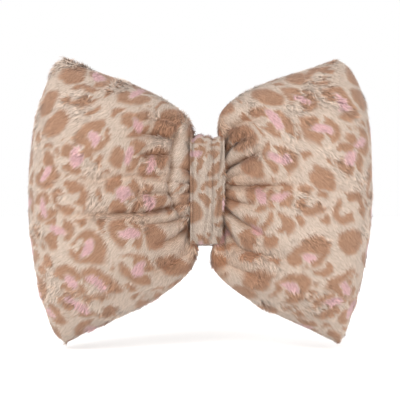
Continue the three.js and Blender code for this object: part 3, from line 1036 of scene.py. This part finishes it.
def make_lobe(name, bow, pile):
    """One lobe: its cloth, the pile on its front and back, and its filling."""
    shape = LobeShape(name, bow)
    lobe = lobe_piece(name, shape, bow)
    front = get_points(lobe)[:, 1] < shape.seam_y
    seed = 1 if shape.side > 0 else 2
    fur = [grow_pile(lobe, f"{name}_front_pile", front, pile, 1.0, seed),
           grow_pile(lobe, f"{name}_back_pile", ~front, pile, 0.9, seed + 2)]
    filling = lobe_filling(name, shape)
    for piece in (lobe, filling, *fur):
        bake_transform(piece)
    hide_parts(f"{name}_front_panel", f"{name}_back_panel")
    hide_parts(f"{name}_stuffing")


def lobe_filling(name, shape):
    """The wad of fibre inside a lobe, clear of the deepest gathers."""
    filling = lobe_cloth(f"{name}_filling", shape, 24, 40)
    centre = np.array([shape.side * (shape.root + shape.corner) / 2, shape.seam_y,
                       (shape.top - shape.bottom) / 2])
    slack = np.array([0.76, 0.74, 0.84])
    points = centre + (get_points(filling) - centre) * slack
    past_neck = smooth_step(20 * MM, 60 * MM, np.abs(points[:, 0]))
    points[:, 1] = shape.seam_y + (points[:, 1] - shape.seam_y) * (0.35 + 0.65 * past_neck)
    set_points(filling, points)
    smoothed(filling, 1)
    filling.data.materials.append(shared["fibre"])
    return filling


class HEADBAND_OT_knot(bpy.types.Operator):
    """Make the folded wrap round the bow's middle, and the gathered neck inside it"""
    bl_idname = "headband.knot"
    bl_label = "Make knot"

    def execute(self, context):
        make_wrap(context.scene.headband_knot, context.scene.headband_pile)
        make_neck()
        give_thread_look("gathering_thread")
        return {"FINISHED"}


def give_thread_look(name):
    """Finishes one of the frame's own pieces, which stays as it is, with sewing thread."""
    materials = bpy.data.objects[name].data.materials
    materials.clear()
    materials.append(shared["thread"])


def wrap_loop(steps):
    """Points round the wrap in its own plane, the way out from it, and the length so far."""
    low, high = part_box("knot_wrap")
    radius = 9 * MM
    half_y = (high.y - low.y) / 2 - radius
    half_z = (high.z - low.z) / 2 - radius
    middle_y = (high.y + low.y) / 2
    corners = [(1, -1, -90), (1, 1, 0), (-1, 1, 90), (-1, -1, 180)]
    points, ways = [], []
    for side_y, side_z, start in corners:
        for step in range(steps + 1):
            angle = math.radians(start + 90 * step / steps)
            way = (math.cos(angle), math.sin(angle))
            points.append((middle_y + side_y * half_y + radius * way[0],
                           side_z * half_z + radius * way[1]))
            ways.append(way)
    return np.array(points), np.array(ways)


def even_loop(points, ways, count):
    """The same loop with its points the same distance apart."""
    closed = np.vstack([points, points[:1]])
    length = np.r_[0, np.cumsum(np.hypot(*np.diff(closed, axis=0).T))]
    at = np.linspace(0, length[-1], count, endpoint=False)
    spaced = np.stack([np.interp(at, length, closed[:, i]) for i in (0, 1)], -1)
    closed_ways = np.vstack([ways, ways[:1]])
    out = np.stack([np.interp(at, length, closed_ways[:, i]) for i in (0, 1)], -1)
    return spaced, out / np.linalg.norm(out, axis=1)[:, None], at


def wrap_relief(across, along, settings):
    """How far the wrap's folds stand out: a main panel, a narrow fold beside it, fine pleats."""
    split = settings.fold_place + 0.05 * np.sin(along * 34 + 0.6)
    panel = np.clip((across + 1) / (split + 1), 0, 1)
    strip = np.clip((across - split) / (1 - split), 0, 1)
    crown = np.where(across < split, np.sin(panel * math.pi) ** 0.45,
                     0.78 * np.sin(strip * math.pi) ** 0.5)
    pleats = 0.5 + 0.5 * np.sin(across * 9.5 + 2.2 * np.sin(along * 41) + 1.3 * np.sin(along * 97))
    dips = 0.5 + 0.5 * np.sin(along * 150 + 4 * across + 2 * np.sin(along * 60))
    return settings.puff * (crown - 0.30 * pleats ** 3 * crown - 0.06 * dips * crown)


def wrap_walls(across, along, ways, settings):
    """How far out the wrap's outer and inner sides are, its edges rounded off between them."""
    outer = wrap_relief(across[None, :], along[:, None], settings)
    flattening = 0.9 * smooth_step(0.6, 0.95, -ways[:, 1:])    # under the bow it lies flat
    outer = outer * (1 - flattening) + settings.puff * flattening
    edge = (1 - np.abs(across) ** 14) ** 0.5
    base = settings.wall - settings.puff
    return [(outer - settings.puff) * edge - (1 - edge) * base * 0.6,
            np.ones_like(outer) * (-settings.wall) + (1 - edge) * base * 0.3]


def make_wrap(settings, pile):
    """The wrap, a closed loop of plush, and the pile on its outer side."""
    low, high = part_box("knot_wrap")
    points, ways, along = even_loop(*wrap_loop(6), 220)
    across = np.linspace(-1, 1, 61)
    half_width = (high.x - low.x) / 2
    outer, inner = wrap_walls(across, along, ways, settings)
    rows = np.concatenate([outer, inner[:, ::-1]], 1)
    columns = np.concatenate([across, across[::-1]])
    place = points[:, None, :] + ways[:, None, :] * rows[:, :, None]
    # Its right side is drawn in towards the bottom
    narrow = 3.0 * MM * smooth_step(0, 1, -points[:, 1:] / high.z)
    x = columns * (half_width - narrow / 2) - narrow / 2 + 0 * rows
    mesh_points = np.stack([x, place[:, :, 0], place[:, :, 1]], -1).reshape(-1, 3)
    wrap = new_object("wrap", mesh_points, grid_faces(len(along), len(columns), True, True))
    # Pulled tight, it shows a part of the print of its own, a little smaller
    closer = 1.25
    cloth = np.stack([x * closer + 0.052, along[:, None] * closer + 0.7 + 0 * rows, 0 * rows], -1)
    store_cloth(wrap, cloth.reshape(-1, 3), np.tile([0.35, 0, -1.0], (rows.size, 1)))
    facing = np.concatenate([np.ones_like(outer), np.zeros_like(outer)], 1).ravel()
    set_values(wrap, "facing", facing)
    tidy_mesh(wrap)
    wrap.data.materials.append(shared["knot_backing"])
    fur = grow_pile(wrap, "wrap_pile", get_values(wrap, "facing") > 0.5, pile, 0.65, 9,
                    "knot_pile")
    for piece in (wrap, fur):
        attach(piece, "band")
    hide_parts("knot_wrap")


def make_neck():
    """The bow's middle, drawn in by its thread: pleats that run across it."""
    low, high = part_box("bow_neck")
    _, thread_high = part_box("gathering_thread")
    half_depth, half_height = (high.y - low.y) / 2, (high.z - low.z) / 2
    middle_y = (high.y + low.y) / 2
    rows, around = 25, 180
    under_thread = 2.4 * MM
    reach = high.x - 3.4 * MM
    across = np.linspace(-1, 1, rows)[:, None]
    turn = once_round(around)
    waist = (thread_high.z - under_thread) / half_height
    size = waist + (0.97 - waist) * smooth_step(0.06, 0.75, np.abs(across))
    pleats = 0.5 + 0.5 * np.sin(turn * 26 + 1.2 * np.sin(turn * 5))
    size = size * (1 - 0.07 * pleats * smooth_step(0.1, 0.8, np.abs(across)))
    x = across * reach * np.ones_like(turn)
    ring = np.stack([x, middle_y + size * half_depth * np.cos(turn),
                     size * half_height * np.sin(turn)], -1)
    faces = grid_faces(rows, around, False, True) + end_faces(rows, around)
    neck = new_object("neck", ring.reshape(-1, 3), faces)
    cloth = np.stack([x, turn * 0.03 + 0 * x, 0 * x], -1)
    store_cloth(neck, cloth.reshape(-1, 3), np.tile([1.0, 0, 0], (x.size, 1)))
    tidy_mesh(neck)
    neck.data.materials.append(shared["knot_backing"])
    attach(neck, "band")
    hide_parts("bow_neck")


class OvalPath:
    """The head opening's edge: places are an angle round it, a way out from it and a height."""

    def __init__(self, band):
        low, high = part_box("band_cover")
        self.half_width = high.x - band.thickness
        self.half_depth = -low.y - band.thickness
        self.half_height = high.z
        self.end_angle = band.end_angle
        self.end_share = (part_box("nape_tube")[1].z + 1 * MM) / high.z
        self.taper = math.radians(45)

    def place(self, angle, outward, height):
        """Points at angles round the edge, so far out from it and so high."""
        way_x = np.cos(angle) / self.half_width
        way_y = np.sin(angle) / self.half_depth
        size = np.hypot(way_x, way_y)
        x = self.half_width * np.cos(angle) + outward * way_x / size
        y = self.half_depth * np.sin(angle) + outward * way_y / size
        return np.stack([x, y, height + 0 * x], -1)

    def height_share(self, angle):
        """How much of its full height the band has, measured round from the bow."""
        from_front = np.abs(angle + math.pi / 2)
        end = math.pi / 2 + self.end_angle
        return 1 + (self.end_share - 1) * smooth_step(end - self.taper, end, from_front)

    def length(self, angle):
        """Distance along the edge from the bow, near enough for a pattern."""
        return (self.half_width + self.half_depth) / 2 * (angle + math.pi / 2)


class HEADBAND_OT_band(bpy.types.Operator):
    """Make the padded plush band and its lining, with the label and the end tacks"""
    bl_idname = "headband.band"
    bl_label = "Make band"

    def execute(self, context):
        band, pile = context.scene.headband_band, context.scene.headband_pile
        path = OvalPath(band)
        make_band(path, band, pile)
        make_lining(path, band)
        make_label(path)
        make_end_tacks(path, band)
        give_thread_look("wrap_stitches")
        return {"FINISHED"}


def band_section(path, band, angle, turn, inset):
    """The band's outline: crowned outside, flat inside, gathered and rounded at its ends."""
    end = math.pi / 2 + band.end_angle
    level = flattened(np.sin(turn), 0.55)
    out = flattened(np.cos(turn), 0.75)
    crown = 0.62 + 0.38 * (1 - np.abs(level) ** 2.2)
    from_end = (end - np.abs(angle + math.pi / 2)) * path.half_width
    closing = np.clip(from_end / (5 * MM), 0, 1)
    closing = np.sqrt(1 - (1 - closing) ** 2)
    pleats = np.sin(level * 11 + 2.0 * np.sin(level * 3)) * np.exp(-from_end / (14 * MM))
    waves = 0.5 * np.sin(angle * 23 + level * 1.7) * np.sin(angle * 9.1)
    half = (band.thickness - 2.2 * MM) / 2 - inset
    outward = half * out * np.where(out > 0, crown, 1)
    outward = outward + np.where(out > 0, (0.9 * pleats + waves) * MM, 0)
    outward = band.thickness / 2 - 0.2 * MM + outward * (0.25 + 0.75 * closing)
    half_height = path.half_height * path.height_share(angle) - 1.5 * MM - inset
    height = level * half_height * (0.84 + 0.16 * closing)
    return outward, height + 0 * outward, out


def band_face(path, band, angle, height, side):
    """How far out the band's outer (1) or inner (-1) face is, at each angle and height."""
    turn = np.linspace(-math.pi / 2, math.pi / 2, 90)[None, :]
    turn = turn if side > 0 else math.pi - turn
    outward, level, _ = band_section(path, band, angle, turn, 0)
    rows = zip(height, level, outward)
    return np.array([np.interp(wanted, known, out) for wanted, known, out in rows])


def band_cushion(name, path, band, steps, around, inset):
    """One closed padded form along the band."""
    end = math.pi / 2 + band.end_angle - inset / path.half_width
    angle = np.linspace(-end, end, steps)[:, None] - math.pi / 2
    outward, height, out = band_section(path, band, angle, once_round(around), inset)
    points = path.place(angle + 0 * outward, outward, height)
    faces = grid_faces(steps, around, False, True) + end_faces(steps, around)
    cushion = new_object(name, points.reshape(-1, 3), faces)
    length = path.length(angle) + 0 * outward
    cloth = np.stack([length, height * 1.2 + 1.3, 0 * outward], -1)
    away = np.stack([-0.3 * np.sin(angle) + 0 * outward, 0.3 * np.cos(angle) + 0 * outward,
                     -1 + 0 * outward], -1)
    store_cloth(cushion, cloth.reshape(-1, 3), away.reshape(-1, 3))
    set_values(cushion, "facing", (out > -0.2) + 0 * outward)
    tidy_mesh(cushion, 0.02 * MM)
    return cushion


def make_band(path, band, pile):
    """The padded band, its pile and the wadding inside it."""
    cover = band_cushion("band_plush", path, band, 170, 72, 0)
    cover.data.materials.append(shared["backing"])
    fur = grow_pile(cover, "band_pile", get_values(cover, "facing") > 0.5, pile, 0.8, 5)
    wadding = band_cushion("wadding", path, band, 90, 32, 2 * MM)
    wadding.data.materials.append(shared["fibre"])
    for piece in (cover, fur, wadding):
        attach(piece, "band")
    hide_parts("band_cover")
    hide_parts("band_wadding")


def sheet_on_path(name, path, start, end, section, steps):
    """A closed strip along the edge: its section is a loop of (outward, height) arrays."""
    angle = np.linspace(start, end, steps)[:, None]
    outward, height = section(angle)
    points = path.place(angle * np.ones_like(outward), outward, height)
    around = outward.shape[1]
    faces = grid_faces(steps, around, False, True) + end_faces(steps, around)
    strip = new_object(name, points.reshape(-1, 3), faces)
    cloth = np.stack([path.length(angle) * np.ones_like(outward), height, 0 * outward], -1)
    set_vectors(strip, "cloth", cloth.reshape(-1, 3))
    tidy_mesh(strip, 0.02 * MM)
    return strip


def make_lining(path, band):
    """Smooth knit inside the band, puckered a little where it is sewn along its edges."""
    turn = once_round(96)
    level = flattened(np.sin(turn), 0.3)
    hem = 4.5 * MM

    def section(angle):
        half = path.half_height * path.height_share(angle) - hem
        height = level * half
        near_edge = smooth_step(0.7, 0.97, np.abs(level))
        pucker = 0.35 * MM * np.sin(angle * 95 + 2 * np.sin(angle * 31)) * near_edge
        cover = band_face(path, band, angle, height, -1)
        return cover + 0.1 * MM + 0.55 * MM * np.cos(turn) + pucker, height

    end = math.pi / 2 + path.end_angle - 0.045
    lining = sheet_on_path("lining", path, -end - math.pi / 2, end - math.pi / 2, section, 260)
    lining.data.materials.append(shared["jersey"])
    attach(lining, "band")
    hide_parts("band_lining")


def make_label(path):
    """A folded satin label sewn to the lining, its free edge curling a little."""
    low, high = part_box("care_label")
    turn = once_round(48)
    half_arc = (high.y - low.y) / 2 / path.half_width
    level = flattened(np.sin(turn), 0.3)

    def section(angle):
        curl = 1.2 * MM * smooth_step(0.2, 1.0, -level) * (1 + 0.3 * np.cos(angle * 40))
        outward = 0.1 * MM - curl + 0.22 * MM * np.cos(turn)
        return outward, level * high.z * np.ones_like(outward)

    label = sheet_on_path("label", path, -math.pi - half_arc, -math.pi + half_arc, section, 30)
    label.data.materials.append(shared["satin"])
    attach(label, "band")
    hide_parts("care_label")


def near_bow(angle):
    """The same angle, counted within half a turn of the bow."""
    return (angle + 3 * math.pi / 2) % (2 * math.pi) - 3 * math.pi / 2


def make_end_tacks(path, band):
    """A dense bar of thread across each end of the band."""
    rings, around = 7, 8
    pitch = 1.05 * MM
    turn = once_round(around)
    share = np.linspace(-1, 1, rings)[:, None]
    radius = 0.55 * MM * np.sqrt(np.maximum(1 - np.abs(share) ** 4, 0.02))
    proud = 1.2 * MM
    for name in ("left", "right"):
        low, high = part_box(f"{name}_end_tack")
        angle = np.arcsin((low.y + high.y + share * (high.y - low.y)) / 2 / path.half_depth)
        angle = angle if name == "right" else math.pi - angle
        top = high.z - 2 * MM
        points, faces = [], []
        for number, height in enumerate(np.arange(-top, top, pitch)):
            slant = 0.35 * MM * share * (1 if number % 2 else -1)
            up = height + slant + radius * np.sin(turn)
            cover = band_face(path, band, near_bow(angle), up, 1)
            out = cover + proud + radius * np.cos(turn)
            points.append(path.place(angle + 0 * out, out, up).reshape(-1, 3))
            first = number * rings * around
            stitch = grid_faces(rings, around, False, True) + end_faces(rings, around)
            faces += [tuple(first + i for i in face) for face in stitch]
        tack = new_object(f"{name}_tack", np.concatenate(points), faces)
        tidy_mesh(tack)
        tack.data.materials.append(shared["thread"])
        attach(tack, "band")
        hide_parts(f"{name}_end_tack")


class HEADBAND_OT_nape(bpy.types.Operator):
    """Make the ruched tube and the elastic at the nape"""
    bl_idname = "headband.nape"
    bl_label = "Make nape"

    def execute(self, context):
        path = OvalPath(context.scene.headband_band)
        make_tube(path, context.scene.headband_band, context.scene.headband_pile)
        make_elastic(path, context.scene.headband_band)
        return {"FINISHED"}


def blend_nape(piece):
    """Bakes the placement of one of the nape's pieces into its points."""
    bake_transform(piece)


def ruche(length, level, spacing):
    """Height of the drawn-up folds, from -1 to 1: long ones that lean, and branches off them."""
    phase = length * 2 * math.pi / spacing
    lean = 1.3 * np.sin(level * 2.1 + length * 60) + 0.8 * np.sin(level * 5 + length * 110)
    fold = np.sin(phase + lean + 1.6 * np.sin(length * 75))
    branch = np.sin(2 * phase + 3.1 * level + 2 * np.sin(length * 48))
    return 0.62 * fold + 0.38 * branch


def make_tube(path, band, pile):
    """Plush tube drawn up on the elastic in many small folds, hollow, and open at its ends."""
    _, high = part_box("nape_tube")
    start = path.end_angle - 0.015
    steps, around = 420, 56
    wall = 1.4 * MM
    angle = np.linspace(start, math.pi - start, steps)[:, None]
    turn = once_round(around)
    level = flattened(np.sin(turn), 0.6)
    out = flattened(np.cos(turn), 0.8)
    middle = band.thickness / 2
    length = path.length(angle)
    ruffle = ruche(length, level, band.ruche)
    ends = np.minimum(angle - start, math.pi - start - angle) * path.half_width
    settle = smooth_step(0, 7 * MM, ends)
    depth = (1.25 * MM) * (0.35 + 0.65 * settle)
    half_thick = (0.40 + 0.06 * settle) * (high.y - path.half_depth - 0.8 * MM) * 0.93
    walls = []
    for inset in (0, wall):
        outward = middle + out * (half_thick - inset + depth * ruffle * (1 - inset / (3 * MM)))
        height = level * (high.z - 1.6 * MM - inset + 1.5 * depth * ruffle)
        walls.append(path.place(angle + 0 * outward, outward, height))
    points = np.concatenate([walls[0], walls[1][::-1]], 0)
    tube = new_object("ruched_tube", points.reshape(-1, 3),
                      grid_faces(2 * steps, around, True, True))
    cloth_level = np.abs(np.angle(np.exp(1j * (turn - math.pi)))) * 16 * MM
    flat = np.stack([length * 1.5 + 0 * cloth_level, cloth_level + 0 * length,
                     0 * length + 0 * cloth_level], -1)
    flat = np.concatenate([flat, flat[::-1]], 0)
    store_cloth(tube, flat.reshape(-1, 3), np.tile([0.2, 0, -1.0], (len(flat.reshape(-1, 3)), 1)))
    facing = np.concatenate([np.ones((steps, around)), np.zeros((steps, around))], 0)
    set_values(tube, "facing", facing)
    tidy_mesh(tube)
    tube.data.materials.append(shared["backing"])
    fur = grow_pile(tube, "tube_pile", get_values(tube, "facing") > 0.5, pile, 0.7, 12)
    for piece in (tube, fur):
        blend_nape(piece)
    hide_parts("nape_tube", "left_gathers", "right_gathers")


def make_elastic(path, band):
    """The woven elastic inside the tube."""
    _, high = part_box("nape_elastic")
    turn = once_round(64)
    level = flattened(np.sin(turn), 0.25)

    def section(angle):
        ripple = 0.08 * MM * np.sin(level * 60)
        outward = band.thickness / 2 + (0.7 * MM + ripple) * np.cos(turn)
        return outward + 0 * angle, level * high.z + 0 * angle

    start = path.end_angle + 0.01
    strip = sheet_on_path("nape_strip", path, start, math.pi - start, section, 120)
    strip.data.materials.append(shared["elastic"])
    blend_nape(strip)
    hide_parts("nape_elastic")


class HEADBAND_OT_stage(bpy.types.Operator):
    """Make the floor, the backdrop, the lights and the camera"""
    bl_idname = "headband.stage"
    bl_label = "Make stage"

    def execute(self, context):
        make_stage()
        return {"FINISHED"}


def make_stage():
    """A pale floor under the object, a white world, three soft lights and the camera."""
    low, high = cad_bounds
    make_floor(low.z - 2 * MM)
    make_world()
    make_lights((low + high) / 2)
    make_camera()
    bpy.context.scene.view_settings.view_transform = "Standard"


def make_floor(floor_z):
    """A wide pale floor."""
    bpy.ops.object.select_all(action="DESELECT")
    bpy.ops.mesh.primitive_plane_add(size=12, location=(0, 0, floor_z))
    floor = bpy.context.object
    floor.name = "floor"
    material, _, shader = new_material("Pale floor", 0.9)
    shader.inputs["Base Color"].default_value = (0.9, 0.9, 0.9, 1)
    shader.inputs["Emission Color"].default_value = (1, 1, 1, 1)
    shader.inputs["Emission Strength"].default_value = 0.14
    floor.data.materials.append(material)


def make_world():
    """Even white light from all round."""
    world = bpy.data.worlds.new("Studio")
    bpy.context.scene.world = world
    world.use_nodes = True
    world.node_tree.nodes["Background"].inputs["Color"].default_value = (1, 1, 1, 1)
    world.node_tree.nodes["Background"].inputs["Strength"].default_value = 1.0


def make_lights(target):
    """Three soft lights that face the middle of the object."""
    for name, place, size, power in (
            ("key", (-0.9, -1.3, 1.2), 1.2, 26), ("fill", (1.3, -1.2, 0.5), 1.4, 10),
            ("back", (0.2, 1.5, 1.4), 1.2, 12)):
        light = bpy.data.lights.new(name, "AREA")
        light.energy, light.size = power, size
        lamp = bpy.data.objects.new(name, light)
        lamp.location = place
        aim = target - lamp.location
        lamp.rotation_euler = aim.to_track_quat("-Z", "Y").to_euler()
        bpy.context.scene.collection.objects.link(lamp)


def make_camera():
    """A long lens straight in front of the bow."""
    camera = bpy.data.cameras.new("camera")
    camera.lens, camera.sensor_width = 100, 36
    eye = bpy.data.objects.new("camera", camera)
    bpy.context.scene.collection.objects.link(eye)
    # The frame is 290 mm wide at the bow's seam, and its middle is left of and below the knot
    view_width = 0.2898
    distance = view_width * camera.lens / camera.sensor_width
    eye.location = (-0.0051, -0.103 - distance, -0.0076)
    eye.rotation_euler = (math.pi / 2, 0, 0)
    bpy.context.scene.camera = eye


class HEADBAND_PT_panel(bpy.types.Panel):
    """Lists the headband's sizes, colours and steps"""
    bl_idname = "HEADBAND_PT_panel"
    bl_label = "Headband"
    bl_space_type = "VIEW_3D"
    bl_region_type = "UI"
    bl_category = "Headband"

    def draw(self, context):
        for group in SETTINGS:
            settings = getattr(context.scene, group)
            for name in settings.__annotations__:
                self.layout.prop(settings, name)
        for operator in STEPS:
            self.layout.operator(operator.bl_idname)


SETTINGS = {
    "headband_print": PrintSettings,
    "headband_pile": PileSettings,
    "headband_bow": BowSettings,
    "headband_knot": KnotSettings,
    "headband_band": BandSettings,
}
STEPS = (HEADBAND_OT_materials, HEADBAND_OT_bow, HEADBAND_OT_knot, HEADBAND_OT_band,
         HEADBAND_OT_nape, HEADBAND_OT_stage)


def register():
    for name, group in SETTINGS.items():
        bpy.utils.register_class(group)
        setattr(bpy.types.Scene, name, PointerProperty(type=group))
    for operator in STEPS:
        bpy.utils.register_class(operator)
    bpy.utils.register_class(HEADBAND_PT_panel)


def unregister():
    bpy.utils.unregister_class(HEADBAND_PT_panel)
    for operator in reversed(STEPS):
        bpy.utils.unregister_class(operator)
    for name, group in SETTINGS.items():
        delattr(bpy.types.Scene, name)
        bpy.utils.unregister_class(group)


def main():
    register()
    bpy.ops.headband.materials()
    bpy.ops.headband.bow()
    bpy.ops.headband.knot()
    bpy.ops.headband.band()
    bpy.ops.headband.nape()
    bpy.ops.headband.stage()
    bpy.data.objects.remove(shared["lock"])


if __name__ == "__main__":
    main()
